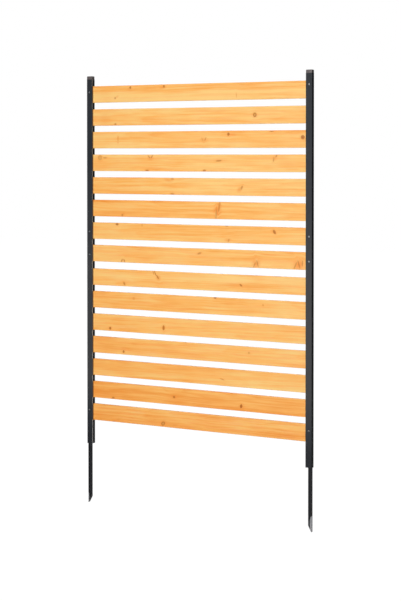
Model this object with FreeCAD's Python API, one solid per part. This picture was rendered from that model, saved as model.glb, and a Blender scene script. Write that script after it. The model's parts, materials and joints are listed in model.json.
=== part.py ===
"""Garden privacy screen: level softwood slats between two dark metal posts on ground spikes.

Millimetres. X runs across the screen, to the right as seen from the front, Y from front to
back and Z up. The origin lies on the ground side: midway between the posts, halfway through
the overall depth, screw heads included, and level with the lowest points of the spikes.

Each post is a U-channel whose open side faces the other post. It holds, from the bottom up:
the spike's upper end with the foot block beside and above it, then slat ends and spacers by
turns, and the legs of the cap. Distances named `inset` or passed as `reach` are measured
from a post's outer face towards the middle of the screen.
"""

import FreeCAD, Part
import os

Vector = FreeCAD.Vector

# ---------------------------------------------------------------- driving dimensions
# Slats, counted from the top
slat_count = 15
slat_height = 60.0
slat_thickness = 12.0
slat_gap = 22.4                 # height of a spacer
slat_edge_radius = 2.0
clear_width = 854.0             # length of slat seen between the posts
slat_end_clearance = 1.5        # from a slat's end to the web of its post
slat_play = 0.5                 # from a slat's face to the flange before or behind it
top_slat_slack = 1.5            # left open under the top slat, which hangs on its screws
middle_slat_slack = 3.6         # the same under the lower of the two middle screwed slats

# Posts
post_wall = 2.0
post_corner_radius = 1.0
post_lip_radius = 0.4
post_above_slats = 25.0

# Spacers between the slat ends
spacer_recess = 1.0             # how far a spacer stands back from the post's open side
spacer_end_clearance = 0.5
spacer_edge_chamfer = 0.6

# Caps
cap_height = 12.0
cap_top_radius = 2.2
cap_corner_radius = 1.0
cap_leg_wall = 2.4
cap_leg_clearance = 0.2
cap_leg_recess = 0.8

# Spikes: square tube with a steep oblique cut, lowest at the outer side
spike_play = 0.5                # from the spike to the flange before or behind it
spike_wall = 1.5
spike_corner_radius = 1.2
spike_exposed = 218.0
spike_insert = 80.0
spike_tip_height = 23.0
spike_side_clearance = 0.3      # to the web on one side and the foot block on the other
spike_top_clearance = 0.3       # to the ledge of the foot block that stops it

# Foot blocks
foot_block_width = 7.4          # beside the spike
foot_block_ledge = 6.7          # height above the spike
foot_block_recess = 1.0
foot_block_edge_chamfer = 0.6

# Pan-head screws through the front flanges into some of the slats
panel_screw_diameter = 3.5
panel_screw_inset = 10.5
panel_screw_cover = 3.0         # wood left beyond a screw's tip
panel_hole_clearance = 0.3
pilot_clearance = 0.05
pan_head_diameter = 6.6
pan_head_height = 2.0
pan_head_edge_radius = 0.9
cross_recess_width = 0.9
cross_recess_span = 3.6
socket_depth_share = 0.6        # depth of a socket, as a share of the head or stub it is in
point_end_share = 0.1           # width of a screw's blunt point, as a share of its shank

# Where those screws sit, as shares of a slat's height above its middle: left post, right post
top_screw_rise = (0.13, 0.29)
upper_middle_screw_rise = (-0.07, 0.01)
lower_middle_screw_rise = (-0.08, -0.02)
bottom_screw_rise = (0.10, 0.13)

# Countersunk screws through the rear flanges into the foot blocks
block_screw_diameter = 3.0
block_screw_head_diameter = 5.4
block_screw_cover = 3.0
block_screw_margin = 14.0       # from the foot, and from the spike's top, to a screw

# Grub screws through the web, which clamp the spike
clamp_screw_diameter = 6.0
lower_clamp_height = 15.0       # above the foot of the post
upper_clamp_height = 39.0
clamp_screw_proud = 1.5
clamp_screw_edge_chamfer = 0.5
clamp_tip_gap = 0.1             # from the screw's end to the spike
clamp_socket_width = 3.0        # across the flats of its hexagon socket
thread_clearance = 0.05

same_place = 1e-6               # closer than this counts as the same place or direction
fillet_limit = 0.45             # most of a wall that the rounding of one edge may take

# ---------------------------------------------------------------- sizes that follow
slat_pitch = slat_height + slat_gap
channel_depth = slat_thickness + 2 * slat_play
post_depth = channel_depth + 2 * post_wall
spike_size = channel_depth - 2 * spike_play
spike_reach = post_wall + spike_side_clearance
foot_block_reach = spike_reach + spike_size + spike_side_clearance
block_screw_reach = foot_block_reach + foot_block_width / 2
post_width = foot_block_reach + foot_block_width + foot_block_recess
half_width = clear_width / 2 + post_width
slat_half_length = half_width - post_wall - slat_end_clearance

front = -(post_depth + pan_head_height) / 2 + pan_head_height
back = front + post_depth
middle = (front + back) / 2

foot = spike_exposed
spike_top = foot + spike_insert
ledge_bottom = spike_top + spike_top_clearance
lowest_slat = ledge_bottom + foot_block_ledge
upper_middle = slat_count // 2
lower_middle = upper_middle + 1
panel_height = (slat_count * slat_height + (slat_count - 1) * slat_gap
                + top_slat_slack + middle_slat_slack)
panel_top = lowest_slat + panel_height
post_top = panel_top + post_above_slats

clamp_heights = (foot + lower_clamp_height, foot + upper_clamp_height)

LEFT, RIGHT = -1, 1
SIDES = {"left": LEFT, "right": RIGHT}


# ---------------------------------------------------------------- tools for shapes
def at(side, reach):
    """X of a plane that lies `reach` in from the outer face of the post on that side."""
    return side * (half_width - reach)


def block(x_ends, y_ends, z_ends):
    """Rectangular block between two values on each axis, given in any order."""
    low = Vector(min(x_ends), min(y_ends), min(z_ends))
    high = Vector(max(x_ends), max(y_ends), max(z_ends))
    size = high - low
    return Part.makeBox(size.x, size.y, size.z, low)


def edges_along(shape, axis):
    """Straight edges of the shape that are parallel to an axis."""
    found = []
    for edge in shape.Edges:
        if isinstance(edge.Curve, Part.Line):
            if abs(abs(edge.tangentAt(edge.FirstParameter).dot(axis)) - 1) < same_place:
                found.append(edge)
    return found


def upright_edges_at(shape, x):
    """Upright edges of the shape that lie in the plane at x."""
    return [edge for edge in edges_along(shape, Vector(0, 0, 1))
            if abs(edge.CenterOfMass.x - x) < same_place]


def edges_level_at(shape, z):
    """Edges of the shape whose middle lies at the height z."""
    return [edge for edge in shape.Edges if abs(edge.CenterOfMass.z - z) < same_place]


def aimed(shape, base, direction):
    """The shape, made along +Z at the origin, moved to base and turned to the direction."""
    placed = shape.copy()
    placed.Placement = FreeCAD.Placement(base, FreeCAD.Rotation(Vector(0, 0, 1), direction))
    return placed


def hexagon(width, depth):
    """Hexagonal prism from z = 0 up, with its size across the flats."""
    corner = width / 3 ** 0.5
    points = [FreeCAD.Rotation(Vector(0, 0, 1), 60 * n).multVec(Vector(corner, 0, 0))
              for n in range(7)]
    return Part.Face(Part.makePolygon(points)).extrude(Vector(0, 0, depth))


def cross(span, width, depth):
    """Cutter for a cross recess: two crossed bars from z = 0 up."""
    bar = Part.makeBox(span, width, depth, Vector(-span / 2, -width / 2, 0))
    other = Part.makeBox(width, span, depth, Vector(-width / 2, -span / 2, 0))
    return bar.fuse(other)


def pointed_shank(diameter, length):
    """Screw shank from z = 0 up, ending in a cone as long as it is thick."""
    radius = diameter / 2
    straight = length - diameter
    point = Part.makeCone(radius, radius * point_end_share, diameter, Vector(0, 0, straight))
    return Part.makeCylinder(radius, straight).fuse(point)


# ---------------------------------------------------------------- slats
def slat_bottom(number):
    """Underside of a slat; slat 1 is the highest."""
    bottom = lowest_slat + (slat_count - number) * slat_pitch
    if number <= lower_middle:
        bottom += middle_slat_slack
    if number == 1:
        bottom += top_slat_slack
    return bottom


def screw_rows():
    """Slats that are screwed to the posts, each with its two screw heights (left, right)."""
    rises = {1: top_screw_rise, upper_middle: upper_middle_screw_rise,
             lower_middle: lower_middle_screw_rise, slat_count: bottom_screw_rise}
    rows = {}
    for number, (left_rise, right_rise) in rises.items():
        slat_middle = slat_bottom(number) + slat_height / 2
        rows[number] = {LEFT: slat_middle + left_rise * slat_height,
                        RIGHT: slat_middle + right_rise * slat_height}
    return rows


def panel_screw_length():
    """Length under the head: through the flange and into the slat, short of its far face."""
    return post_wall + slat_play + slat_thickness - panel_screw_cover


def slat(number):
    """Planed board with its four long edges eased and pilot holes where it is screwed."""
    bottom = slat_bottom(number)
    faces = (middle - slat_thickness / 2, middle + slat_thickness / 2)
    board = block((-slat_half_length, slat_half_length), faces, (bottom, bottom + slat_height))
    board = board.makeFillet(slat_edge_radius, edges_along(board, Vector(1, 0, 0)))
    for side, height in screw_rows().get(number, {}).items():
        start = Vector(at(side, panel_screw_inset), front, height)
        pilot = Part.makeCylinder(panel_screw_diameter / 2 + pilot_clearance,
                                  panel_screw_length() + pilot_clearance)
        board = board.cut(aimed(pilot, start, Vector(0, 1, 0)))
    return board


# ---------------------------------------------------------------- posts and what they hold
def post(side):
    """U-channel, open towards the middle, with the holes for its screws."""
    outer = block((at(side, 0), at(side, post_width)), (front, back), (foot, post_top))
    outer = outer.makeFillet(post_corner_radius, upright_edges_at(outer, at(side, 0)))
    channel = block((at(side, post_wall), at(side, post_width + post_wall)),
                    (front + post_wall, back - post_wall),
                    (foot - post_wall, post_top + post_wall))
    shape = outer.cut(channel)
    shape = shape.makeFillet(min(post_lip_radius, fillet_limit * post_wall),
                             upright_edges_at(shape, at(side, post_width)))
    cutters = [panel_hole(side, heights[side]) for heights in screw_rows().values()]
    cutters += [aimed(countersink(), base, Vector(0, -1, 0)) for base in block_screw_seats(side)]
    cutters += [clamp_hole(side, height) for height in clamp_heights]
    return shape.cut(cutters)


def panel_hole(side, height):
    """Cutter for the hole in the front flange that a pan-head screw passes through."""
    hole = Part.makeCylinder(panel_screw_diameter / 2 + panel_hole_clearance, post_wall * 2)
    start = Vector(at(side, panel_screw_inset), front - post_wall / 2, height)
    return aimed(hole, start, Vector(0, 1, 0))


def clamp_hole(side, height):
    """Cutter for the tapped hole in the web that a grub screw is turned into."""
    hole = Part.makeCylinder(clamp_screw_diameter / 2 + thread_clearance, post_wall * 2)
    start = Vector(at(side, -post_wall / 2), middle, height)
    return aimed(hole, start, Vector(-side, 0, 0))


def spacer(side, number):
    """Block in the channel that lies on the slat below slat `number` and keeps them apart."""
    bottom = slat_bottom(number + 1) + slat_height
    shape = block((at(side, post_wall + spacer_end_clearance),
                   at(side, post_width - spacer_recess)),
                  (middle - slat_thickness / 2, middle + slat_thickness / 2),
                  (bottom, bottom + slat_gap))
    return shape.makeChamfer(spacer_edge_chamfer, edges_along(shape, Vector(0, 0, 1)))


def cap(side):
    """Moulded cap: a head as wide as the post and three joined legs down to the top slat."""
    head = block((at(side, 0), at(side, post_width)), (front, back),
                 (post_top, post_top + cap_height))
    head = head.makeFillet(cap_corner_radius, edges_along(head, Vector(0, 0, 1)))
    head = head.makeFillet(cap_top_radius, edges_level_at(head, post_top + cap_height))
    reaches = (post_wall + cap_leg_clearance, post_width - cap_leg_recess)
    depths = (front + post_wall + cap_leg_clearance, back - post_wall - cap_leg_clearance)
    legs = block((at(side, reaches[0]), at(side, reaches[1])), depths,
                 (panel_top + cap_leg_clearance, post_top))
    hollow = block((at(side, reaches[0] + cap_leg_wall), at(side, post_width)),
                   (depths[0] + cap_leg_wall, depths[1] - cap_leg_wall),
                   (panel_top, post_top))
    return head.fuse(legs.cut(hollow)).removeSplitter()


def foot_block(side):
    """L-shaped block: it carries the lowest slat, stops the spike and fills beside it."""
    faces = (middle - slat_thickness / 2, middle + slat_thickness / 2)
    inner_face = at(side, foot_block_reach + foot_block_width)
    beside = block((at(side, foot_block_reach), inner_face), faces, (foot, lowest_slat))
    ledge = block((at(side, post_wall + spacer_end_clearance), inner_face), faces,
                  (ledge_bottom, lowest_slat))
    shape = beside.fuse(ledge).removeSplitter()
    shape = shape.makeChamfer(foot_block_edge_chamfer, upright_edges_at(shape, inner_face))
    for base in block_screw_seats(side):
        pilot = Part.makeCylinder(block_screw_diameter / 2 + pilot_clearance,
                                  block_screw_length() + pilot_clearance)
        shape = shape.cut(aimed(pilot, base, Vector(0, -1, 0)))
    return shape


def spike(side):
    """Square tube, cut obliquely at its lower end; the point is along the outer wall."""
    low, high = 0.0, spike_top
    outer = block((at(side, spike_reach), at(side, spike_reach + spike_size)),
                  (middle - spike_size / 2, middle + spike_size / 2), (low, high))
    outer = outer.makeFillet(spike_corner_radius, edges_along(outer, Vector(0, 0, 1)))
    inner = block((at(side, spike_reach + spike_wall),
                   at(side, spike_reach + spike_size - spike_wall)),
                  (middle - spike_size / 2 + spike_wall, middle + spike_size / 2 - spike_wall),
                  (low - spike_wall, high + spike_wall))
    return outer.cut(inner).cut(tip_cutter(side))


def tip_cutter(side):
    """Wedge under the tip: its upper face rises from the outer side to the inner side."""
    over = spike_size / 2
    slope = spike_tip_height / spike_size
    start, end = at(side, spike_reach - over), at(side, spike_reach + spike_size + over)
    y_start = middle - spike_size
    profile = [Vector(start, y_start, -slope * over),
               Vector(end, y_start, spike_tip_height + slope * over),
               Vector(end, y_start, -spike_tip_height - slope * over),
               Vector(start, y_start, -spike_tip_height - slope * over)]
    return Part.Face(Part.makePolygon(profile + profile[:1])).extrude(Vector(0, 2 * spike_size, 0))


# ---------------------------------------------------------------- screws
def pan_head_screw():
    """Wood screw along +Z with its seat at z = 0 and a domed head below it."""
    head = Part.makeCylinder(pan_head_diameter / 2, pan_head_height,
                             Vector(0, 0, -pan_head_height))
    head = head.makeFillet(min(pan_head_edge_radius, 2 * fillet_limit * pan_head_height),
                           edges_level_at(head, -pan_head_height))
    screw = head.fuse(pointed_shank(panel_screw_diameter, panel_screw_length()))
    recess = cross(cross_recess_span, cross_recess_width, pan_head_height * socket_depth_share)
    recess.translate(Vector(0, 0, -pan_head_height))
    return screw.cut(recess).removeSplitter()


def panel_screws(side):
    """The pan-head screws of one post, each with its head on the front flange."""
    screws = [aimed(pan_head_screw(), Vector(at(side, panel_screw_inset), front, heights[side]),
                    Vector(0, 1, 0)) for heights in screw_rows().values()]
    return Part.makeCompound(screws)


def block_screw_seats(side):
    """Points on the back face where the two countersunk screws of a foot block sit."""
    heights = (foot + block_screw_margin, spike_top - block_screw_margin)
    return [Vector(at(side, block_screw_reach), back, height) for height in heights]


def block_screw_length():
    """Length of a countersunk screw, from the back face to its tip in the foot block."""
    return post_wall + slat_play + slat_thickness - block_screw_cover


def countersink():
    """Cutter for a countersunk hole along +Z from z = 0: a 90 degree cone, then the shank."""
    depth = (block_screw_head_diameter - block_screw_diameter) / 2
    cone = Part.makeCone(block_screw_head_diameter / 2 + thread_clearance,
                         block_screw_diameter / 2 + thread_clearance, depth)
    return cone.fuse(Part.makeCylinder(block_screw_diameter / 2 + thread_clearance,
                                       post_wall * 2))


def countersunk_screw():
    """Screw along +Z with its flat head flush at z = 0 and a cross recess in it."""
    depth = (block_screw_head_diameter - block_screw_diameter) / 2
    head = Part.makeCone(block_screw_head_diameter / 2, block_screw_diameter / 2, depth)
    shank = pointed_shank(block_screw_diameter, block_screw_length())
    recess = cross(block_screw_diameter, cross_recess_width, depth * socket_depth_share)
    return head.fuse(shank).cut(recess).removeSplitter()


def block_screws(side):
    """The countersunk screws of one foot block, flush with the back of the post."""
    return Part.makeCompound([aimed(countersunk_screw(), base, Vector(0, -1, 0))
                              for base in block_screw_seats(side)])


def clamp_screw():
    """Grub screw along +Z, its outer end at z = 0, with a hexagon socket there."""
    length = clamp_screw_proud + post_wall + spike_side_clearance - clamp_tip_gap
    shape = Part.makeCylinder(clamp_screw_diameter / 2, length)
    shape = shape.makeChamfer(clamp_screw_edge_chamfer, edges_level_at(shape, 0))
    return shape.cut(hexagon(clamp_socket_width, length * socket_depth_share))


def clamp_screws(side):
    """The grub screws of one post, their ends just short of the spike."""
    return Part.makeCompound(
        [aimed(clamp_screw(), Vector(at(side, -clamp_screw_proud), middle, height),
               Vector(-side, 0, 0)) for height in clamp_heights])


# ---------------------------------------------------------------- every node of the screen
def nodes():
    """Node names with their shapes."""
    shapes = {}
    for number in range(1, slat_count + 1):
        shapes[f"slat_{number:02d}"] = slat(number)
    for name, side in SIDES.items():
        shapes[f"{name}_post"] = post(side)
        shapes[f"{name}_post_cap"] = cap(side)
        shapes[f"{name}_spike"] = spike(side)
        shapes[f"{name}_foot_block"] = foot_block(side)
        shapes[f"{name}_panel_screws"] = panel_screws(side)
        shapes[f"{name}_block_screws"] = block_screws(side)
        shapes[f"{name}_clamp_screws"] = clamp_screws(side)
        for number in range(1, slat_count):
            shapes[f"{name}_spacer_{number:02d}"] = spacer(side, number)
    return shapes


os.makedirs("parts", exist_ok=True)
for node, shape in nodes().items():
    shape.exportStep(f"parts/{node}.step")
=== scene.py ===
"""Looks of the garden privacy screen, built round its packed construction.

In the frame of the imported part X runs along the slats, Y from front to back and Z up. Objects,
lights and the camera are in metres. Names that end in MM, the finishes, and the surfaces of the
boards and caps until they become meshes are in millimetres. Each slat is dressed as a board with
its own grain, stain and knots, and each cap as a moulded one; the other metal and plastic pieces
keep their own shapes and get a finish.
"""

import json
import math
from collections import namedtuple

import bpy
import numpy as np
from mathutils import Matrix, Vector


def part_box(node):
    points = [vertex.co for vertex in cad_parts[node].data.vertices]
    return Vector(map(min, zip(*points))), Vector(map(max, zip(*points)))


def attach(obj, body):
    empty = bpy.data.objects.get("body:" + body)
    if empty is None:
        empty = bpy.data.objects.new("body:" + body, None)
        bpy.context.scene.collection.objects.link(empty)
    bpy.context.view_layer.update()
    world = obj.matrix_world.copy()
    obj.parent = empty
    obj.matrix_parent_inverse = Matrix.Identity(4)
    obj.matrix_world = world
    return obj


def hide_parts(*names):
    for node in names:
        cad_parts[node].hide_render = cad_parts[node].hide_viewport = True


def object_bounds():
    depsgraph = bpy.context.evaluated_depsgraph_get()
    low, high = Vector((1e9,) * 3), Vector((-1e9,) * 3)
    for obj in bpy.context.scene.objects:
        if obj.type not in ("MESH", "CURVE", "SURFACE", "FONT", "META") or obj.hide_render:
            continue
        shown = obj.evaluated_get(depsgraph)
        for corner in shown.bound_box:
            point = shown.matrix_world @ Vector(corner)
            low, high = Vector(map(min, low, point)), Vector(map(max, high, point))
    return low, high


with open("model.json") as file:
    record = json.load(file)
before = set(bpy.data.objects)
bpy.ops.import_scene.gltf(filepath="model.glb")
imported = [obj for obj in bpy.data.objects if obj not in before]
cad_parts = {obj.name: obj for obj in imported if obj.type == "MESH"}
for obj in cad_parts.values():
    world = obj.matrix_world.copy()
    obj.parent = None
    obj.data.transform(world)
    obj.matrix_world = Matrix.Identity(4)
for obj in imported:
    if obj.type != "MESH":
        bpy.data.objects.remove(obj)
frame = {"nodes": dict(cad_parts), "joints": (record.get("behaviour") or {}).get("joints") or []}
cad_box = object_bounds()

MM = 0.001
SIDES = {"left": -1, "right": 1}

# ---------------------------------------------------------------- the photograph's camera
PHOTO_HEIGHT = 601
FOCAL_PIXELS = 1457.8
SENSOR_MM = 36.0
CAMERA_PLACE = (2.4755, -4.4793, 1.2717)
CAMERA_AZIMUTH = 28.74          # degrees to the right of straight in front
CAMERA_DIP = 0.977              # degrees below level
CAMERA_SHIFT = -0.2             # share of the long side, for the empty half below the screen

# ---------------------------------------------------------------- studio
FLOOR_REACH = 14.0              # from the middle to each side
FLOOR_CLEARANCE = 0.001         # below the tips when the spikes are pulled right out
FLOOR_PALE = (0.48, 0.48, 0.48, 1.0)
FLOOR_WHITE = 1.08              # strength of the white that the camera sees of the floor
FLOOR_SEEN = 0.93               # share of that white; the rest is the lit floor
ROOM_DIM = (0.11, 0.112, 0.117, 1.0)
ROOM_WHITE = (1.0, 1.0, 1.0, 1.0)

# Soft lights: degrees to the right of straight in front and above level, metres, watts
SoftLight = namedtuple("SoftLight", "azimuth elevation distance width height watts")

SOFT_LIGHTS = {
    "front_light": SoftLight(4, 3, 3.6, 1.7, 2.6, 116),
    "back_light": SoftLight(198, 20, 3.6, 2.6, 2.4, 70),
    "top_light": SoftLight(0, 84, 2.6, 2.4, 1.2, 26),
}


# ---------------------------------------------------------------- wood
# Knots: millimetres to the right of the board's middle and above it, length along the grain,
# height, tilt in degrees, how dark it is, and how much of its middle is pale
Knot = namedtuple("Knot", "along rise length height tilt dark hollow")

# Flares: the tinted grain beside a knot, placed alike, with how strong it is
Flare = namedtuple("Flare", "along rise length height tilt strength")

# Boards: depth of the stain, how pink it is, how much deeper the upper half is than the lower,
# how much paler painted light makes the right end than the middle, the pith behind the board and
# above its middle (mm), the width of a year ring (mm), the slope of the grain (degrees), knots
# and flares
Board = namedtuple("Board", "stain pink upper fade pith ring slope knots flares")

BOARDS = {
    1: Board(0.36, 0.1, 0.95, 0.10, (46, 34), 2.7, 0.5,
             [Knot(-266, 22, 7, 9, 0, 0.75, 0), Knot(-126, 23, 8, 9, 10, 0.72, 0),
              Knot(-330, -15, 6, 7, 0, 0.6, 0), Knot(163, -14, 3, 12, 4, 0.25, 0.3)],
             [Flare(-132, 20, 34, 16, 8, 0.5), Flare(-322, -10, 22, 9, 32, 0.5),
              Flare(-268, 18, 22, 14, 0, 0.4)]),
    2: Board(0.46, 0.25, -0.36, 0.04, (70, -12), 3.1, -0.6,
             [Knot(234, 1, 13, 15, 0, 0.95, 0.85), Knot(-329, -25, 9, 6, 0, 0.6, 0)],
             [Flare(-372, -4, 60, 40, 0, 0.35), Flare(234, 1, 36, 22, 0, 0.25)]),
    3: Board(0.46, 0.1, 0.36, -0.05, (52, 20), 2.9, 0.3,
             [Knot(132, 18, 9, 11, 0, 0.8, 0), Knot(299, 27, 16, 4, 0, 0.6, 0),
              Knot(415, 6, 15, 14, 0, 0.9, 0), Knot(29, 0, 3, 13, 24, 0.3, 0),
              Knot(41, 1, 4, 13, -22, 0.4, 0), Knot(-318, 2, 4, 20, 0, 0.14, 0)],
             [Flare(146, 17, 42, 11, 0, 0.7), Flare(36, -1, 38, 22, 0, 0.5)]),
    4: Board(0.28, 0.25, -0.05, 0.02, (60, -30), 2.8, -0.4,
             [Knot(-395, 19, 17, 18, 0, 0.45, 0.8), Knot(-374, 18, 16, 5, 0, 0.4, 0),
              Knot(-188, 22, 4, 12, 38, 0.55, 0), Knot(-176, 22, 4, 13, -36, 0.6, 0),
              Knot(94, 8, 22, 5, 4, 0.6, 0), Knot(316, 24, 5, 10, -34, 0.5, 0),
              Knot(306, 13, 5, 15, -8, 0.45, 0.3), Knot(-196, -27, 14, 5, 0, 0.7, 0),
              Knot(37, -26, 12, 6, 0, 0.7, 0)],
             [Flare(-182, 17, 30, 18, 0, 0.65), Flare(96, 8, 60, 9, 0, 0.35),
              Flare(310, 16, 22, 22, -15, 0.4)]),
    5: Board(0.52, 0.1, 0.0, 0.26, (48, 6), 3.0, 0.6,
             [Knot(-92, 26, 12, 8, 0, 0.4, 0), Knot(-92, -27, 16, 5, 0, 0.45, 0),
              Knot(184, -2, 7, 15, -24, 0.5, 0)],
             [Flare(-108, 22, 46, 18, -12, 0.6), Flare(176, -8, 28, 20, 36, 0.85),
              Flare(-94, -26, 26, 10, 0, 0.4)]),
    6: Board(0.64, 0.05, 0.05, 0.20, (66, 24), 2.6, -0.3,
             [Knot(96, 14, 7, 40, -8, 0.38, 0), Knot(84, -14, 6, 42, -3, 0.36, 0),
              Knot(-300, -24, 8, 8, 0, 0.5, 0)],
             [Flare(89, 2, 34, 54, -6, 0.85), Flare(-296, -20, 18, 14, 30, 0.4)]),
    7: Board(0.48, 0.0, 0.4, 0.0, (80, -6), 3.2, 0.4,
             [Knot(-322, 25, 12, 8, 0, 0.85, 0), Knot(-217, 24, 3, 9, 0, 0.4, 0),
              Knot(126, 29, 11, 4, 0, 0.6, 0), Knot(133, -21, 6, 11, -20, 0.4, 0.2),
              Knot(309, 13, 9, 15, 35, 0.82, 0)],
             [Flare(131, -20, 34, 16, 0, 0.65), Flare(304, 14, 26, 16, -24, 0.35)]),
    8: Board(0.46, 0.45, 0.25, 0.0, (44, 30), 2.7, 0.0,
             [Knot(-302, -23, 4, 12, -22, 0.7, 0), Knot(-292, -23, 4, 12, 20, 0.7, 0),
              Knot(17, 13, 15, 6, 18, 0.45, 0), Knot(233, -20, 5, 20, -24, 0.4, 0),
              Knot(245, -15, 5, 26, 16, 0.44, 0), Knot(388, -16, 5, 26, -24, 0.42, 0),
              Knot(401, -12, 5, 30, 18, 0.48, 0), Knot(414, -8, 5, 20, 0, 0.42, 0)],
             [Flare(240, -15, 36, 32, 0, 0.95), Flare(402, -13, 50, 38, 0, 0.95),
              Flare(-297, -21, 20, 14, 0, 0.4)]),
    9: Board(0.32, 0.15, -0.28, 0.0, (58, -26), 2.9, -0.5,
             [Knot(-170, 24, 4, 13, 22, 0.5, 0), Knot(-162, 21, 4, 20, 26, 0.7, 0),
              Knot(-152, 9, 6, 16, 34, 0.6, 0), Knot(-292, -20, 7, 12, 30, 0.6, 0.2),
              Knot(181, -6, 12, 6, -30, 0.7, 0)],
             [Flare(-150, 6, 24, 22, -35, 0.8), Flare(150, -6, 120, 18, 0, 0.45),
              Flare(-292, -19, 22, 14, -30, 0.35)]),
    10: Board(0.66, 0.25, 0.0, 0.14, (74, 18), 3.0, 0.3,
              [Knot(80, 28, 10, 5, 0, 0.85, 0), Knot(-252, 10, 8, 8, 0, 0.15, 0),
               Knot(266, 12, 5, 5, 0, 0.35, 0)],
              [Flare(82, 26, 24, 10, 0, 0.35), Flare(-256, 9, 44, 16, 0, 0.2)]),
    11: Board(0.55, 0.4, 0.0, 0.22, (50, -18), 2.8, 0.8,
              [Knot(-352, -20, 9, 10, 0, 0.8, 0), Knot(-128, -6, 9, 17, 0, 0.74, 0)],
              [Flare(-352, -18, 22, 16, 0, 0.4), Flare(-128, -6, 20, 28, 0, 0.4)]),
    12: Board(0.68, 0.45, 0.0, 0.16, (62, 12), 3.1, -0.4,
              [Knot(-295, -19, 8, 10, 0, 0.8, 0), Knot(212, 9, 7, 7, 0, 0.35, 0)],
              [Flare(-295, -16, 22, 20, 0, 0.35), Flare(212, 8, 36, 14, 0, 0.3)]),
    13: Board(0.62, 0.05, 0.42, 0.38, (47, -34), 2.7, 0.9,
              [Knot(108, -7, 16, 4, -16, 0.4, 0)],
              [Flare(108, -7, 40, 10, -10, 0.3)]),
    14: Board(1.2, 0.0, -0.12, 0.06, (68, 26), 2.9, 0.5,
              [Knot(-85, -2, 10, 8, 0, 0.7, 0), Knot(182, -13, 9, 14, -8, 0.95, 0),
               Knot(-339, -25, 11, 7, 0, 0.6, 0)],
              [Flare(-85, -2, 34, 14, 0, 0.35), Flare(184, -13, 30, 24, 0, 0.4)]),
    15: Board(0.94, 0.55, -0.42, 0.08, (54, 8), 2.8, 0.7,
              [Knot(-130, -18, 16, 13, 30, 0.9, 0.85)],
              [Flare(-128, -18, 50, 22, 0, 0.3)]),
}


# ---------------------------------------------------------------- tools for finishes
def paint(red, green, blue):
    """Linear colour with alpha from a display's numbers, 0 to 255."""
    shown = np.array([red, green, blue]) / 255
    linear = np.where(shown <= 0.04045, shown / 12.92, ((shown + 0.055) / 1.055) ** 2.4)
    return (*linear.tolist(), 1.0)


class Signal:
    """An output socket; arithmetic on it adds Math nodes and gives the next signal."""

    def __init__(self, nodes, socket):
        self.nodes, self.socket = nodes, socket

    def math(self, operation, *values):
        """A Math node with these values in order."""
        return self.nodes.add("Math", {"operation": operation}, dict(enumerate(values)))

    def __add__(self, other):
        return self.math("ADD", self, other)

    def __sub__(self, other):
        return self.math("SUBTRACT", self, other)

    def __rsub__(self, other):
        return self.math("SUBTRACT", other, self)

    def __mul__(self, other):
        return self.math("MULTIPLY", self, other)

    def __truediv__(self, other):
        return self.math("DIVIDE", self, other)

    def __pow__(self, power):
        return self.math("POWER", self, power)

    def __abs__(self):
        return self.math("ABSOLUTE", self)

    __radd__ = __add__

    def least(self, other):
        """The smaller of the two."""
        return self.math("MINIMUM", self, other)

    def most(self, other):
        """The larger of the two."""
        return self.math("MAXIMUM", self, other)

    def sine(self):
        """Sine of an angle in radians."""
        return self.math("SINE", self)

    def fraction(self):
        """What is left after the whole number."""
        return self.math("FRACT", self)

    def ease(self, start, end):
        """0 before start and 1 past end, with a smooth rise between them, in either order."""
        low, high = min(start, end), max(start, end)
        rise = {"To Min": float(start > end), "To Max": float(start < end)}
        return self.nodes.add("MapRange", {"interpolation_type": "SMOOTHSTEP"},
                              {"Value": self, "From Min": low, "From Max": high, **rise})

    def output(self, key):
        """Another output of the node that this signal comes from."""
        return Signal(self.nodes, self.socket.node.outputs[key])


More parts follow.
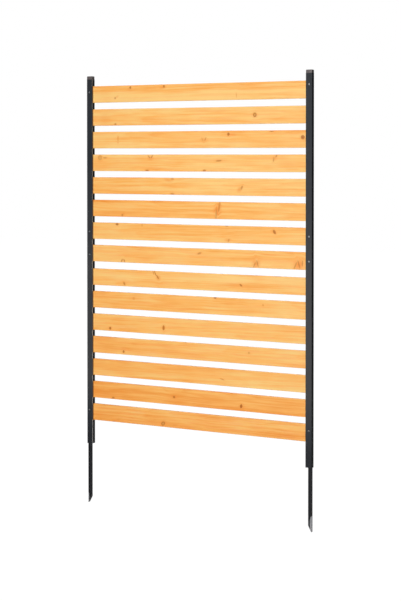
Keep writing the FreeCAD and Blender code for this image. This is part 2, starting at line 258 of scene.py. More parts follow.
class Nodes:
    """The node tree of a material or of the world, emptied and built up again."""

    def __init__(self, owner):
        owner.use_nodes = True
        self.owner, self.tree = owner, owner.node_tree
        self.tree.nodes.clear()

    def add(self, kind, settings=None, values=None, output=0):
        """Adds a node: its settings first, a ramp's stops among them, then its sockets."""
        node = self.tree.nodes.new("ShaderNode" + kind)
        for key, value in (settings or {}).items():
            if key == "stops":
                self.set_stops(node.color_ramp, value)
            else:
                setattr(node, key, value)
        for key, value in (values or {}).items():
            if isinstance(value, Signal):
                self.tree.links.new(value.socket, node.inputs[key])
            else:
                node.inputs[key].default_value = value
        return Signal(self, node.outputs[output]) if node.outputs else None

    @staticmethod
    def set_stops(ramp, stops):
        """Gives a colour ramp its stops, as pairs of a place and a colour."""
        while len(ramp.elements) < len(stops):
            ramp.elements.new(1.0)
        for element, (place, color) in zip(ramp.elements, stops):
            element.position, element.color = place, color

    def place_mm(self, middle=(0.0, 0.0, 0.0)):
        """Where a point of the piece is, in millimetres from a point given in metres."""
        spot = self.add("TexCoord", output="Object")
        moved = self.add("VectorMath", {"operation": "SUBTRACT"}, {0: spot, 1: tuple(middle)})
        return self.add("VectorMath", {"operation": "SCALE"}, {0: moved, "Scale": 1 / MM})

    def parts(self, vector):
        """The three numbers of a vector."""
        x = self.add("SeparateXYZ", values={0: vector})
        return x, x.output(1), x.output(2)

    def vector(self, x, y=0.0, z=0.0):
        """A vector from three numbers or signals."""
        return self.add("CombineXYZ", values={0: x, 1: y, 2: z})

    def noise(self, place, size, detail=2.0, seed=0.0, rough=0.5):
        """Cloudy noise from 0 to 1; size is how long its blobs are, on all or on each axis."""
        sizes = size if isinstance(size, tuple) else (size, size, size)
        shrunk = self.add("VectorMath", {"operation": "DIVIDE"}, {0: place, 1: sizes})
        return self.add("TexNoise", {"noise_dimensions": "4D"},
                        {"Vector": shrunk, "W": seed, "Scale": 1.0, "Detail": detail,
                         "Roughness": rough})

    def mix(self, share, first, second, way="MIX"):
        """Colours mixed by a share of the second one."""
        return self.add("Mix", {"data_type": "RGBA", "blend_type": way, "clamp_factor": True},
                        {0: share, 6: first, 7: second}, output=2)

    def bump(self, height, depth_mm, strength=1.0):
        """The surface's direction after a relief whose height runs from 0 to 1."""
        return self.add("Bump", None, {"Height": height, "Distance": depth_mm * MM,
                                       "Strength": strength})

    def seen_apart(self, lit, seen, share=1.0):
        """Two shaders in one: the first lights the scene, and the camera sees the second."""
        eye = self.add("LightPath", output="Is Camera Ray") * share
        return self.add("MixShader", values={0: eye, 1: lit, 2: seen})

    def finish(self, **sockets):
        """Ends the material in one Principled shader; underscores stand for spaces."""
        values = {key.replace("_", " "): value for key, value in sockets.items()}
        shader = self.add("BsdfPrincipled", values=values)
        self.add("OutputMaterial", values={"Surface": shader})
        return self.owner


def new_finish(name):
    """Nodes of a new material."""
    return Nodes(bpy.data.materials.new(name))


def new_object(name, data):
    """An object of the scene for its data."""
    thing = bpy.data.objects.new(name, data)
    bpy.context.scene.collection.objects.link(thing)
    return thing


# ---------------------------------------------------------------- finish of the boards
# Textures of the wood: how long their blobs are along, through and up the board, what is added
# to the board's number for a seed, their detail and their roughness
Texture = namedtuple("Texture", "size seed detail rough", defaults=(2.0, 0.5))

KNOT_RIM = Texture((2.4, 6.0, 2.4), 0.0)
PITH_DRIFT = Texture((260.0, 1.0, 1.0), 0.3)
RING_WOBBLE = Texture((60.0, 12.0, 9.0), 0.7)
RING_YEARS = Texture((5.0, 1.0, 1.0), 0.0)      # over the count of years, not over a length
BANDS = Texture((560.0, 20.0, 10.0), 1.1, rough=0.55)
CLOUDS = Texture((95.0, 20.0, 16.0), 1.4)
STREAKS = Texture((210.0, 6.0, 2.6), 1.7, detail=3.0)
BLUSH = Texture((75.0, 12.0, 7.0), 1.9)
FIBRES = Texture((16.0, 0.5, 0.45), 2.3, detail=3.0, rough=0.65)

# How a mark comes in towards its middle, between two distances in its own radii
KNOT_IN = (1.25, 0.7)
HEART_IN = (0.95, 0.35)
FLARE_IN = (1.3, 0.0)
HALO_IN = (2.4, 0.9)            # the faint flare round every knot
HALO_STRENGTH = 0.3
MARK_THROUGH_MM = 1000.0        # half the depth of a mark, which goes right through a board
KNOT_RAG = 0.5                  # how far the texture moves a knot's rim, in knot radii
KNOT_PUSH = 0.85                # share of the way round a knot that the grain is pushed
KNOT_RINGS = 9.0                # radians of a knot's own rings in each of its radii
KNOT_RINGS_RAG = 3.0
KNOT_RINGS_DEPTH = 0.12

# Year rings
DRIFT_UP_MM = 10.0              # how far the pith wanders up and down
DRIFT_ACROSS_MM = 8.0           # and to the front and back
PITH_SKEW = 0.012               # how the pith runs to the front along the board
WOBBLE_MM = 2.6
YEAR_RAGGED = 2.0               # how far the width of a ring wanders, in rings
LATE_WOOD = (2.4, 6.0)          # slow rise and steep fall of the dark line in each ring

# What each texture adds to the depth of the stain between its least and its greatest
STAIN_BANDS = 2.4
STAIN_CLOUDS = 1.7
STAIN_STREAKS = 2.2
STAIN_LATE = 0.5
STAIN_FIBRES = 0.2
LATE_MEAN = 0.35
HALF_SPLIT_MM = 16.0            # from the middle: between these, one half passes to the other
PAINTED_LIGHT_FADE_REACH_MM = 430.0
DEPTH_ON_RAMP = (0.5, 0.12)     # scale and start of the depth on the ramp of colours
BLUSH_IN = (0.44, 0.66)
BLUSH_LEAST = 0.25

STAIN_RAMP = [(0.0, paint(255, 207, 127)), (0.5, paint(255, 184, 95)),
              (1.0, paint(246, 154, 62))]
STAIN_PINK = (1.0, 0.90, 0.96, 1.0)
STAIN_FLARE = (0.93, 0.60, 0.36, 1.0)
KNOT_DARK = paint(170, 86, 8)
KNOT_PALE = paint(222, 158, 78)

# Brown of the ends, and a painted shadow on a board beside the posts, where their flanges stand
# proud of it: how far from the left and right post they begin, where they are full, and how
# strong they are
END_BROWN = paint(176, 112, 52)
END_STAIN_MM = 3.0
END_STRENGTH = 0.55
POST_SHADOW_BROWN = (0.13, 0.09, 0.04, 1.0)
POST_SHADOW_MM = {"left": (4.8, 0.8), "right": (1.6, 0.2)}
POST_SHADOW_STRENGTH = 0.94


def slat_wood(number, low, high):
    """Honey-stained softwood: year rings round a pith, bent round the knots, on one board.

    The grain runs past each knot as water runs round a pole: at the height h over the knot's
    middle, the wood is that of the height h * (1 - KNOT_PUSH / r^2), where r is the distance in
    knot radii and at least 1.
    """
    board = BOARDS[number]
    half_length = (high.x - low.x) / 2 / MM
    opening = -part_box("left_post")[1].x / MM      # from the middle to the post's flanges
    wood = new_finish(f"slat_wood_{number:02d}")
    place = wood.place_mm((low + high) / 2)
    x, y, z = wood.parts(place)

    def texture(kind, where):
        """One of the wood's textures, with this board's own seed."""
        return wood.noise(where, kind.size, kind.detail, number + kind.seed, kind.rough)

    ragged = texture(KNOT_RIM, place) * KNOT_RAG - KNOT_RAG / 2
    bent, knots, core, nearest = z, 0.0, 0.0, None
    for knot in board.knots:
        radii = knot_distance(wood, place, knot) + ragged
        bent = bent - (z - knot.rise) * KNOT_PUSH / (radii * radii).most(1.0)
        core = (radii.ease(*HEART_IN) * knot.hollow).most(core) if knot.hollow else core
        knots = (radii.ease(*KNOT_IN) * knot.dark).most(knots)
        nearest = radii.least(nearest) if nearest else radii
    flared = nearest.ease(*HALO_IN) * HALO_STRENGTH
    for flare in board.flares:
        tinted = knot_distance(wood, place, flare).ease(*FLARE_IN) * flare.strength
        flared = tinted.most(flared)

    # Year rings: distance from the pith, whose height follows the slope of the grain
    drift = texture(PITH_DRIFT, wood.vector(x)) - 0.5
    pith_y, pith_z = board.pith
    up = bent - x * math.tan(math.radians(board.slope)) + drift * DRIFT_UP_MM - pith_z
    across = y + x * PITH_SKEW - pith_y + drift * DRIFT_ACROSS_MM
    grain = wood.vector(x, y, up)
    from_pith = (across * across + up * up) ** 0.5
    year = (from_pith + texture(RING_WOBBLE, grain) * WOBBLE_MM) / board.ring
    ring = (year + texture(RING_YEARS, wood.vector(year)) * YEAR_RAGGED).fraction()
    rise, fall = LATE_WOOD
    late = (ring ** rise).least((1 - ring) * fall)

    upper = bent.ease(-HALF_SPLIT_MM, HALF_SPLIT_MM) - 0.5
    fibres = texture(FIBRES, grain)
    # Painted light: the stain thins towards the right end, so the board is paler there
    depth = (board.stain + upper * board.upper - x * (board.fade / PAINTED_LIGHT_FADE_REACH_MM) + drift
             + (texture(BANDS, grain) - 0.5) * STAIN_BANDS
             + (texture(CLOUDS, grain) - 0.5) * STAIN_CLOUDS
             + (texture(STREAKS, grain) - 0.5) * STAIN_STREAKS
             + (late - LATE_MEAN) * STAIN_LATE + (fibres - 0.5) * STAIN_FIBRES)
    scale, start = DEPTH_ON_RAMP
    tone = wood.add("ValToRGB", {"stops": STAIN_RAMP}, {0: depth * scale + start})
    pinkish = texture(BLUSH, grain).ease(*BLUSH_IN) * (BLUSH_LEAST + board.pink)
    tone = wood.mix(pinkish, tone, STAIN_PINK, "MULTIPLY")
    tone = wood.mix(flared, tone, STAIN_FLARE, "MULTIPLY")
    own_rings = ((nearest * KNOT_RINGS + ragged * KNOT_RINGS_RAG).sine() * KNOT_RINGS_DEPTH
                 + (1 - KNOT_RINGS_DEPTH))
    tone = wood.mix(knots * own_rings, tone, wood.mix(core, KNOT_DARK, KNOT_PALE))
    end = abs(x).ease(half_length - END_STAIN_MM, half_length)
    tone = wood.mix(end * END_STRENGTH, tone, END_BROWN)
    # Painted shadow of each post's flange on the board beside it, wider at the left post
    shadow_at_left = (x + opening).ease(*POST_SHADOW_MM["left"])
    shadow_at_right = (opening - x).ease(*POST_SHADOW_MM["right"])
    tone = wood.mix(shadow_at_left.most(shadow_at_right) * POST_SHADOW_STRENGTH, tone, POST_SHADOW_BROWN,
                    "MULTIPLY")

    relief = fibres * 0.45 + late * 0.3 + knots * 0.4
    return wood.finish(Base_Color=tone, Roughness=0.52 - late * 0.08 - knots * 0.1
                       + (fibres - 0.5) * 0.12, Normal=wood.bump(relief, 0.12),
                       Specular_IOR_Level=0.25)


def knot_distance(wood, place, mark):
    """Distance from a knot's or a flare's middle in its own radii, along its own axes."""
    turned = wood.add("Mapping", {"vector_type": "TEXTURE"},
                      {"Vector": place, "Location": (mark.along, 0.0, mark.rise),
                       "Rotation": (0.0, -math.radians(mark.tilt), 0.0),
                       "Scale": (mark.length / 2, MARK_THROUGH_MM, mark.height / 2)})
    return wood.add("VectorMath", {"operation": "LENGTH"}, {0: turned}, output="Value")


# ---------------------------------------------------------------- boards
# Slow wander along a board: what is added to the board's number for a seed, how far it goes
# and how long its longest wave is, mm
Wander = namedtuple("Wander", "seed reach wave")

EDGE_RADIUS_MM = 2.0
RADIUS_WANDER = Wander(0, 0.25, 140.0)
FACE_WANDER = Wander(50, 0.18, 700.0)
EDGE_WANDER = Wander(90, 0.16, 520.0)
WANDER_WAVES = 5
WANDER_SHORTER = 0.8            # power of a wave's number by which it is shorter
WANDER_SCALE = 1.6              # what brings the sum of the waves to about 1
SHARP_ANGLE = math.radians(40)  # edges sharper than this aren't smoothed over

# Relief of a knot: how proud it is, and the depth, place and width of the dish round it; the
# last two are in knot radii, the width squared
KNOT_PROUD_MM = 0.16
KNOT_DISH_MM = 0.10
KNOT_DISH_AT = 1.25
KNOT_DISH_WIDTH = 0.12

# Mesh of a board: points along it and over a face, which gather at the knots, points over the
# thickness and round an edge
BOARD_COLUMNS = 170
COLUMNS_PER_KNOT = 22
COLUMN_BELL = (9.0, 4.0)        # how far along from a knot's middle they gather, and how much
FACE_ROWS = 30
ROW_BELL = (0.2, 0.8)           # the same up the face, in halves of its height
EDGE_ROWS = 7
ARC_POINTS = 6
SPREAD_STEPS = 4001             # of the running total that places the points


def wander(x, number, kind):
    """A slow wander about 0 along x: a sum of sines of random phase, each shorter and lower."""
    random = np.random.default_rng(number + kind.seed)
    total = np.zeros_like(x)
    for part in range(1, WANDER_WAVES + 1):
        wave = kind.wave / part ** WANDER_SHORTER
        total += np.sin(2 * np.pi * x / wave + random.uniform(0, 2 * np.pi)) / part
    return kind.reach * (total / WANDER_SCALE)


def spread(count, low, high, spots, bell):
    """Places from low to high, closer together round the spots.

    Their density is 1 plus a bell as wide as reach and gain high at each spot, and the places
    are equal steps of its running total.
    """
    reach, gain = bell
    fine = np.linspace(low, high, SPREAD_STEPS)
    density = np.ones_like(fine)
    for spot in spots:
        density += gain * np.exp(-((fine - spot) / reach) ** 2)
    total = np.concatenate([[0.0], np.cumsum((density[1:] + density[:-1]) / 2)])
    return np.interp(np.linspace(0, total[-1], count), total, fine)


def knot_relief(x, z, knots):
    """Height in mm of the planed face: each hard knot stands proud in a shallow dish.

    With r the distance in knot radii, it is KNOT_PROUD_MM * (1 - r^2) inside and
    -KNOT_DISH_MM * exp(-(r - KNOT_DISH_AT)^2 / KNOT_DISH_WIDTH) round it, times how dark the
    knot is.
    """
    height = np.zeros_like(x)
    for knot in knots:
        tilt = -math.radians(knot.tilt)
        dx, dz = x - knot.along, z - knot.rise
        along = (dx * math.cos(tilt) - dz * math.sin(tilt)) / (knot.length / 2)
        across = (dx * math.sin(tilt) + dz * math.cos(tilt)) / (knot.height / 2)
        r = np.hypot(along, across)
        proud = KNOT_PROUD_MM * np.clip(1 - r * r, 0, None)
        dish = KNOT_DISH_MM * np.exp(-(r - KNOT_DISH_AT) ** 2 / KNOT_DISH_WIDTH)
        height += knot.dark * (proud - dish)
    return height


def board_section(rows):
    """Round the section: the corner rectangle's point and the outward direction, each (y, z).

    The corner rectangle runs from -1 to 1 both ways. Each quarter turn takes one flat side and
    the arc after it; rows are the places of the points up a face.
    """
    turn = np.linspace(0, np.pi / 2, ARC_POINTS)[1:-1]
    edge = np.linspace(-1, 1, EDGE_ROWS)
    quarters = []
    for quarter, places in enumerate((rows, edge, rows, edge)):
        c, s = math.cos(quarter * math.pi / 2), math.sin(quarter * math.pi / 2)
        flat = np.stack([np.full_like(places, -1), places,
                         np.full_like(places, -1), np.zeros_like(places)])
        arc = np.stack([np.full_like(turn, -1), np.full_like(turn, 1),
                        -np.cos(turn), np.sin(turn)])
        both = np.concatenate([flat, arc], axis=1)
        quarters.append(np.stack([both[0] * c + both[1] * s, -both[0] * s + both[1] * c,
                                  both[2] * c + both[3] * s, -both[2] * s + both[3] * c]))
    return np.concatenate(quarters, axis=1)


def board_surface(number, low, high):
    """A planed board as a rounded rectangle carried along X and closed at both ends.

    Round the section a point is the corner rectangle's edge plus the edge radius along the
    outward direction; the radius and the faces wander slowly, and the knots stand proud.
    """
    board = BOARDS[number]
    middle = (np.array(low) + np.array(high)) / 2 / MM
    half_x, half_y, half_z = (np.array(high) - np.array(low)) / 2 / MM
    columns = BOARD_COLUMNS + COLUMNS_PER_KNOT * len(board.knots)
    x = spread(columns, -half_x, half_x, [knot.along for knot in board.knots], COLUMN_BELL)
    rows = spread(FACE_ROWS, -1, 1, [knot.rise / half_z for knot in board.knots], ROW_BELL)
    sy, sz, ny, nz = board_section(rows)[:, None, :]

    along = x[:, None]
    radius = EDGE_RADIUS_MM + wander(along, number, RADIUS_WANDER)
    y = sy * (half_y - radius) + ny * radius
    z = sz * (half_z - radius) + nz * radius
    height = knot_relief(along + 0 * z, z, board.knots) * np.abs(ny)
    bow = wander(along, number, FACE_WANDER) * (1 - (along / half_x) ** 2)
    points = np.stack([along + 0 * y, y + ny * height + bow,
                       z + nz * height + wander(along, number, EDGE_WANDER)], axis=-1)
    return (points + middle) * MM


def closed_mesh(name, *shells):
    """One mesh of closed shells, each a grid of points (along, around) with flat ends.

    The faces of a shell take the material slot with the shell's number.
    """
    points, faces, slots, first = [], [], [], 0
    for slot, shell in enumerate(shells):
        columns, around = shell.shape[:2]
        index = first + np.arange(columns * around).reshape(columns, around)
        ahead = np.roll(index, -1, axis=1)
        quads = np.stack([index[:-1], index[1:], ahead[1:], ahead[:-1]], axis=-1)
        sides = quads.reshape(-1, 4).tolist()
        ends = [index[0].tolist(), index[-1][::-1].tolist()]
        faces += sides + ends
        slots += [slot] * (len(sides) + len(ends))
        points += shell.reshape(-1, 3).tolist()
        first += columns * around
    mesh = bpy.data.meshes.new(name)
    mesh.from_pydata(points, [], faces)
    mesh.polygons.foreach_set("material_index", slots)
    mesh.polygons.foreach_set("use_smooth", np.ones(len(faces), bool))
    mesh.set_sharp_from_angle(angle=SHARP_ANGLE)
    return mesh


def new_piece(name, mesh, node, slot, *materials):
    """An object for the mesh that stands for a CAD node and rides with the frame."""
    piece = new_object(name, mesh)
    for material in materials:
        mesh.materials.append(material)
    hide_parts(node)
    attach(piece, "frame")


def dress_slats():
    """One board for each slat, on the slat's own place and body."""
    for number in BOARDS:
        node, name = f"slat_{number:02d}", f"board_{number:02d}"
        low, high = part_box(node)
        mesh = closed_mesh(name, board_surface(number, low, high))
        new_piece(name, mesh, node, "slat_wood", slat_wood(number, low, high))


# ---------------------------------------------------------------- caps
CAP_HEAD_MM = 12.0
CAP_CORNER_MM = 1.6
CAP_CORNER_SHRINK = 0.5         # of the corners' radius, for each mm the side stands in
CAP_LEAST_CORNER_MM = 0.4
CAP_TOP_RADIUS_MM = 2.1
CAP_TOP_ARC_POINTS = 7
CAP_CROWN_MM = 0.35
CAP_CROWN_RINGS = (0.86, 0.06, 7)   # share of the top for the first and last ring, their count
# Side of the head from its foot up: how far it stands in from the post's faces, and how high;
# a rim, a shadow groove above it, and a side with a slight draft
CAP_SIDE_MM = [(0.5, 0.0), (0.12, 0.0), (0.0, 0.15), (0.0, 2.3), (0.1, 2.45), (0.42, 2.5),
               (0.42, 3.0), (0.14, 3.1), (0.1, 3.25), (0.16, 9.55)]
CAP_INSERT_GAP_MM = 2.2         # from the post's faces to the insert, wall and clearance
CAP_INSERT_WALL_MM = 2.4
CAP_INSERT_RECESS_MM = 0.8      # from the post's open side
CAP_INSERT_CORNER_MM = 0.4
CAP_INSERT_SINK_MM = 0.2        # how far the insert goes up into the head


def rounded_outline(corners, radius, steps):
    """A right-angled outline with its corners rounded.

    With p a corner, and a and b the directions into and out of it, its arc is
    p - r*a + r*b + r*(a*sin t - b*cos t), for t from 0 to 90 degrees.
    """
    corners = np.asarray(corners, float)
    into = corners - np.roll(corners, 1, axis=0)
    into /= np.linalg.norm(into, axis=1, keepdims=True)
    out = np.roll(into, -1, axis=0)
    centre = corners - radius * into + radius * out
    t = np.linspace(0, np.pi / 2, steps)[None, :, None]
    arcs = centre[:, None] + radius * (into[:, None] * np.sin(t) - out[:, None] * np.cos(t))
    return arcs.reshape(-1, 2)


def at_height(ring, height):
    """The points of an outline at one height."""
    return np.column_stack([ring, np.full(len(ring), height)])


def cap_head(low, high, foot):
    """The moulded head, which lies on the post's end.

    It is a rounded rectangle carried up its side line, round the top edge and in over a crown
    whose height falls off with the square of the distance from the middle.
    """
    middle, half = (low + high) / 2, (high - low) / 2
    quarter = np.linspace(0, np.pi / 2, CAP_TOP_ARC_POINTS)[1:]
    edge_height = CAP_HEAD_MM - CAP_CROWN_MM - CAP_TOP_RADIUS_MM
    draft = CAP_SIDE_MM[-1][0]
    side_line = CAP_SIDE_MM + list(zip(draft + CAP_TOP_RADIUS_MM * (1 - np.cos(quarter)),
                                       edge_height + CAP_TOP_RADIUS_MM * np.sin(quarter)))
    rings = []
    for inset, height in side_line:
        x, y = half[0] - inset, half[1] - inset
        corner = max(CAP_CORNER_MM - inset * CAP_CORNER_SHRINK, CAP_LEAST_CORNER_MM)
        top = rounded_outline([(-x, -y), (-x, y), (x, y), (x, -y)], corner, steps=6)
        rings.append(at_height(top, height))
    for share in np.linspace(*CAP_CROWN_RINGS):
        rings.append(at_height(top * share, CAP_HEAD_MM - CAP_CROWN_MM * share ** 2))
    return np.stack(rings) + [middle[0], middle[1], foot]


def cap_insert(side, low, high, foot):
    """The insert in the post's channel: a U, open towards the slats, carried straight up."""
    outer, inner = (low[0], high[0]) if side < 0 else (high[0], low[0])
    web, lips = outer - side * CAP_INSERT_GAP_MM, inner + side * CAP_INSERT_RECESS_MM
    near, far = low[1] + CAP_INSERT_GAP_MM, high[1] - CAP_INSERT_GAP_MM
    wall = CAP_INSERT_WALL_MM
    outline = [(lips, near), (web, near), (web, far), (lips, far), (lips, far - wall),
               (web - side * wall, far - wall), (web - side * wall, near + wall),
               (lips, near + wall)]
    ring = rounded_outline(outline[::-side], CAP_INSERT_CORNER_MM, steps=4)
    return np.stack([at_height(ring, low[2]), at_height(ring, foot + CAP_INSERT_SINK_MM)])


def dress_caps(insert_plastic):
    """A moulded cap for each post."""
    materials = cap_plastic(), insert_plastic
    for name, side in SIDES.items():
        node = f"{name}_post_cap"
        low, high = (np.array(corner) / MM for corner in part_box(node))
        foot = high[2] - CAP_HEAD_MM
        mesh = closed_mesh(f"{name}_cap", cap_head(low, high, foot) * MM,
                           cap_insert(side, low, high, foot) * MM)
        new_piece(f"{name}_cap", mesh, node, "cap_plastic", *materials)


# ---------------------------------------------------------------- finishes of the other pieces
# Posts: between which heights over the spikes' tips a look fades in, and how strong it is
# Painted light: a paler band over the lower half of the post
PAINTED_LIGHT_TOP_MM = (1150, 800)
PAINTED_LIGHT_FOOT_MM = (300, 480)
PAINTED_LIGHT_STRENGTH = 0.25
FOOT_SHADE_MM = (330, 240)
FOOT_SHADE_STRENGTH = 0.6
OUTER_SHADE_MM = (1500, 1200)
OUTER_SHADE_STRENGTH = (0.45, 0.4)      # at the top, and what it gains lower down
# Painted reflection: the lips pale in front, between the slats
PAINTED_REFLECTION_MM = (1500, 500)
PAINTED_REFLECTION_STRENGTH = (0.45, 0.5)
WEB_FADE_MM = (0.5, 0.1)        # from the web's outer face in
LIP_FADE_MM = (0.35, 0.1)       # from the lip out
PAINTED_REFLECTION_FRONT_MM = (1.0, -1.0)   # from just behind the panel's middle to just before it
SLAT_FADE_MM = 0.5              # on both sides of a slat's edge
SLAT_COVER = 0.9                # how much of the painted reflection a slat takes away

# Spikes: the bare steel's height over the tip at the outer and at the inner wall, and the
# construction's own cut and wall
SPIKE_BARE_MM = {"left": (40.0, 12.0), "right": (54.0, 30.0)}
SPIKE_RAG_MM = 9.0              # how ragged the upper end of the bare steel is
SPIKE_BARE_FADE_MM = 0.6        # above and below that end
SPIKE_INSIDE_MM = (0.3, 0.1)    # from the tube's inner faces out: the inside is bare too
SPIKE_TIP_MM = 23.0
SPIKE_WALL_MM = 1.5
SPIKE_CORNER_MM = (1.3, 0.3)    # from the tube's faces in, where paint is worn thin and a highlight is painted
SPIKE_CUT_MM = (2.6, 0.6)       # over the cut, where the steel is dark
SCRATCH_SLANT = 1.9             # rise of the scratches towards the outer wall, as the cut's


def post_coating(lip, web):
    """Charcoal powder coat: satin, with a fine orange peel and a faint mottle.

    It is paler over the lower half with painted light, has painted shade at the foot and on the
    outer face, and a pale painted reflection in front along the lips, between the slats; lip and
    web are how far those lie from the screen's middle, mm.
    """
    coat = new_finish("post_coating")
    place = coat.place_mm()
    x, y, z = coat.parts(place)
    above_tips = z - cad_box[0].z / MM
    peel = coat.noise(place, 1.1)
    cloud = coat.noise(place, (60.0, 60.0, 180.0), detail=3.0, seed=3.0)
    speck = coat.noise(place, 0.35, detail=1.0, seed=5.0)
    color = coat.mix(cloud.ease(0.3, 0.7), paint(41, 45, 50), paint(49, 51, 55))
    color = coat.mix(speck.ease(0.62, 0.74) * 0.35, color, paint(76, 78, 82))
    # Painted light: the post paler over its lower half
    painted_light_band = above_tips.ease(*PAINTED_LIGHT_TOP_MM) * above_tips.ease(*PAINTED_LIGHT_FOOT_MM)
    color = coat.mix(painted_light_band * PAINTED_LIGHT_STRENGTH, color, paint(92, 90, 88))
    foot = above_tips.ease(*FOOT_SHADE_MM) * FOOT_SHADE_STRENGTH
    color = coat.mix(foot, color, paint(26, 28, 32))
    least, more = OUTER_SHADE_STRENGTH
    outer = (abs(x).ease(*(web - inward for inward in WEB_FADE_MM))
             * (above_tips.ease(*OUTER_SHADE_MM) * more + least))
    color = coat.mix(outer, color, paint(12, 13, 15))
    covered = 0.0
    for number in BOARDS:
        low, high = (corner.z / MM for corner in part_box(f"slat_{number:02d}"))
        half, from_middle = (high - low) / 2, abs(z - (low + high) / 2)
        covered = from_middle.ease(half + SLAT_FADE_MM, half - SLAT_FADE_MM).most(covered)
    least, more = PAINTED_REFLECTION_STRENGTH
    # Painted reflection: the lips pale in front, weaker where a slat stands beside them
    painted_reflection = (abs(x).ease(*(lip + outward for outward in LIP_FADE_MM))
              * y.ease(*PAINTED_REFLECTION_FRONT_MM) * (1 - covered * SLAT_COVER)
              * (above_tips.ease(*PAINTED_REFLECTION_MM) * more + least))
    color = coat.mix(painted_reflection, color, paint(240, 240, 238))
    return coat.finish(Base_Color=color, Roughness=0.42 + (peel - 0.5) * 0.2,
                       Normal=coat.bump(peel, 0.05, 0.35), Specular_IOR_Level=0.17)


def cap_plastic():
    """Warm dark-grey moulded plastic with a fine spark-eroded grain."""
    plastic = new_finish("cap_plastic")
    place = plastic.place_mm()
    grain = plastic.noise(place, 0.4)
    flow = plastic.noise(place, (9.0, 9.0, 14.0), seed=2.0)
    color = plastic.mix(flow.ease(0.25, 0.75), paint(88, 80, 80), paint(100, 92, 91))
    return plastic.finish(Base_Color=color, Roughness=0.5 + (grain - 0.5) * 0.2,
                          Normal=plastic.bump(grain, 0.03, 0.5))


def block_plastic():
    """Black moulded plastic of the blocks and cap inserts in the channel."""
    plastic = new_finish("block_plastic")
    place = plastic.place_mm()
    grain = plastic.noise(place, 0.6)
    flow = plastic.noise(place, (6.0, 6.0, 12.0), detail=3.0, seed=4.0)
    color = plastic.mix(flow, paint(22, 22, 24), paint(34, 34, 36))
    return plastic.finish(Base_Color=color, Roughness=0.55 + (grain - 0.5) * 0.2,
                          Normal=plastic.bump(grain, 0.03, 0.5))


def screw_steel():
    """Zinc-plated steel with faint turning marks and a slightly clouded plating."""
    steel = new_finish("screw_steel")
    place = steel.place_mm()
    cloud = steel.noise(place, 1.6, detail=3.0)
    fine = steel.noise(place, 0.15, detail=1.0, seed=6.0)
    color = steel.mix(cloud, paint(120, 123, 129), paint(150, 151, 152))
    return steel.finish(Base_Color=color, Metallic=1.0, Roughness=0.26 + cloud * 0.16,
                        Normal=steel.bump(fine, 0.01, 0.4))


def spike_coating(name):
    """Black satin paint on a square tube, scraped to bare steel above the oblique cut.

    The bare steel has a painted reflection on the outer wall and painted shade on the others,
    and is dark along the cut; the paint is worn thin along the tube's edges, where a highlight
    is painted too.
    """
    side = SIDES[name]
    low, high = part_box(f"{name}_spike")
    middle = (low + high) / 2
    half = (high.x - low.x) / 2 / MM
    coat = new_finish(f"{name}_spike_coating")
    place = coat.place_mm((middle.x, middle.y, low.z))
    x, y, z = coat.parts(place)
    outward = x * side / half                     # 1 at the outer wall and -1 at the inner one
    above_cut = z - (1 - outward) * (SPIKE_TIP_MM / 2)
    farther, nearer = abs(x).most(abs(y)), abs(x).least(abs(y))

    rag = coat.noise(place, (2.5, 2.5, 5.0), detail=3.0, seed=side)
    at_outer, at_inner = SPIKE_BARE_MM[name]
    upper_end = outward * ((at_outer - at_inner) / 2) + (at_outer + at_inner) / 2
    scraped = upper_end + (rag - 0.5) * SPIKE_RAG_MM - z
    inner_face = half - SPIKE_WALL_MM
    inside = farther.ease(*(inner_face + outward_mm for outward_mm in SPIKE_INSIDE_MM))
    bare = scraped.ease(-SPIKE_BARE_FADE_MM, SPIKE_BARE_FADE_MM).most(inside)
    corner = nearer.ease(*(half - inward for inward in SPIKE_CORNER_MM)) * rag.ease(0.3, 0.6)

    slanted = coat.vector(x, y, z - x * side * SCRATCH_SLANT)
    scratches = coat.noise(slanted, (9.0, 9.0, 0.35), seed=7.0)
    cloud = coat.noise(place, (14.0, 14.0, 40.0), detail=3.0, seed=9.0)
    # Lit and shaded copies of the bare steel: a painted reflection on the outer wall, painted
    # shade on the others
    shaded_steel = coat.mix(scratches, paint(56, 58, 61), paint(90, 91, 94))
    lit_steel = coat.mix(scratches, paint(202, 203, 207), paint(232, 232, 234))
    steel = coat.mix(outward.ease(0.35, 0.95), shaded_steel, lit_steel)
    steel = coat.mix(cloud.ease(0.56, 0.8) * 0.25, steel, paint(120, 104, 88))
    steel = coat.mix(above_cut.ease(*SPIKE_CUT_MM) * 0.7, steel, paint(48, 48, 52))
    black = coat.mix(cloud, paint(17, 18, 21), paint(25, 26, 30))
    # Worn paint and a painted highlight along the tube's edges
    black = coat.mix(corner * 0.5, black, paint(120, 121, 128))
    peel = coat.noise(place, 1.3)
    return coat.finish(Base_Color=coat.mix(bare, black, steel), Metallic=bare * 0.3,
                       Roughness=0.4 + bare * 0.05 + (scratches - 0.5) * 0.2,
                       Normal=coat.bump(peel * (1 - bare) + scratches * bare, 0.05, 0.4),
                       Specular_IOR_Level=0.22)


def dress_hardware(plastic):
    """Finishes of the pieces that keep the shapes they were built with."""
    web, lip = (abs(corner.x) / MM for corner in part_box("left_post"))
    steel = screw_steel()
    finishes = {"post": post_coating(lip, web), "panel_screws": steel, "block_screws": steel,
                "clamp_screws": steel, "foot_block": plastic, "spacer": plastic}
    for name, piece in frame["nodes"].items():
        side, _, kind = name.partition("_")
        if side not in SIDES or kind == "post_cap":
            continue
        if kind == "spike":
            finish = spike_coating(side)
        else:
            finish = finishes[kind.rstrip("_0123456789")]
        for slot in piece.material_slots:
            slot.material = finish


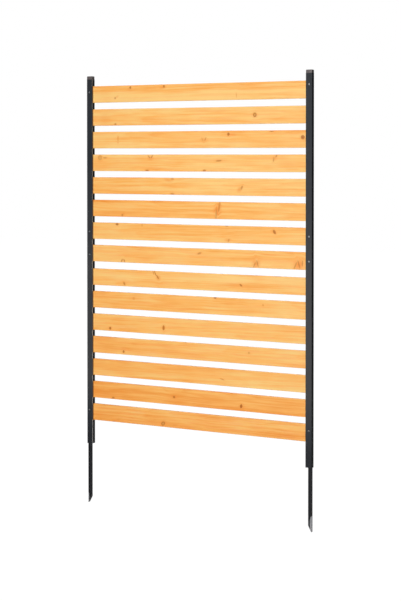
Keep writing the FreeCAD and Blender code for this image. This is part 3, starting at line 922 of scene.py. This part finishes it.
# ---------------------------------------------------------------- camera, floor and light
def place_camera():
    """The photograph's camera; the focal length in pixels becomes one in millimetres."""
    data = bpy.data.cameras.new("photo_camera")
    data.sensor_width = SENSOR_MM
    data.lens = FOCAL_PIXELS * SENSOR_MM / PHOTO_HEIGHT
    data.shift_y = CAMERA_SHIFT
    camera = new_object("photo_camera", data)
    camera.location = CAMERA_PLACE
    camera.rotation_euler = (math.radians(90 - CAMERA_DIP), 0, math.radians(CAMERA_AZIMUTH))
    bpy.context.scene.camera = camera


def lay_floor():
    """Pale floor just below the tips of the spikes when they are pulled right out."""
    travel = max(joint["range_m"][1] for joint in frame["joints"])
    level = cad_box[0].z - travel - FLOOR_CLEARANCE
    mesh = bpy.data.meshes.new("floor")
    mesh.from_pydata([(x * FLOOR_REACH, y * FLOOR_REACH, level)
                      for x, y in ((-1, -1), (1, -1), (1, 1), (-1, 1))], [], [(0, 1, 2, 3)])
    pale = new_finish("pale_floor")
    matt = pale.add("BsdfDiffuse", values={"Color": FLOOR_PALE})
    white = pale.add("Emission", values={"Strength": FLOOR_WHITE})
    pale.add("OutputMaterial", values={"Surface": pale.seen_apart(matt, white, FLOOR_SEEN)})
    mesh.materials.append(pale.owner)
    new_object("floor", mesh)


def light_studio():
    """Large soft lights before, behind and above, in a dim room that the camera sees white."""
    centre = (cad_box[0] + cad_box[1]) / 2
    for name, soft in SOFT_LIGHTS.items():
        data = bpy.data.lights.new(name, "AREA")
        data.shape, data.size, data.size_y = "RECTANGLE", soft.width, soft.height
        data.energy = soft.watts
        light = new_object(name, data)
        a, e = math.radians(soft.azimuth), math.radians(soft.elevation)
        towards = Vector((math.sin(a) * math.cos(e), -math.cos(a) * math.cos(e), math.sin(e)))
        light.location = centre + towards * soft.distance
        light.rotation_euler = towards.to_track_quat("Z", "Y").to_euler()
        light.visible_camera = False
    world = bpy.data.worlds.new("studio")
    bpy.context.scene.world = world
    room = Nodes(world)
    dim = room.add("Background", values={"Color": ROOM_DIM})
    white = room.add("Background", values={"Color": ROOM_WHITE})
    room.add("OutputWorld", values={"Surface": room.seen_apart(dim, white)})
    bpy.context.scene.view_settings.view_transform = "Standard"


place_camera()
lay_floor()
light_studio()
dress_slats()
channel_plastic = block_plastic()
dress_caps(channel_plastic)
dress_hardware(channel_plastic)
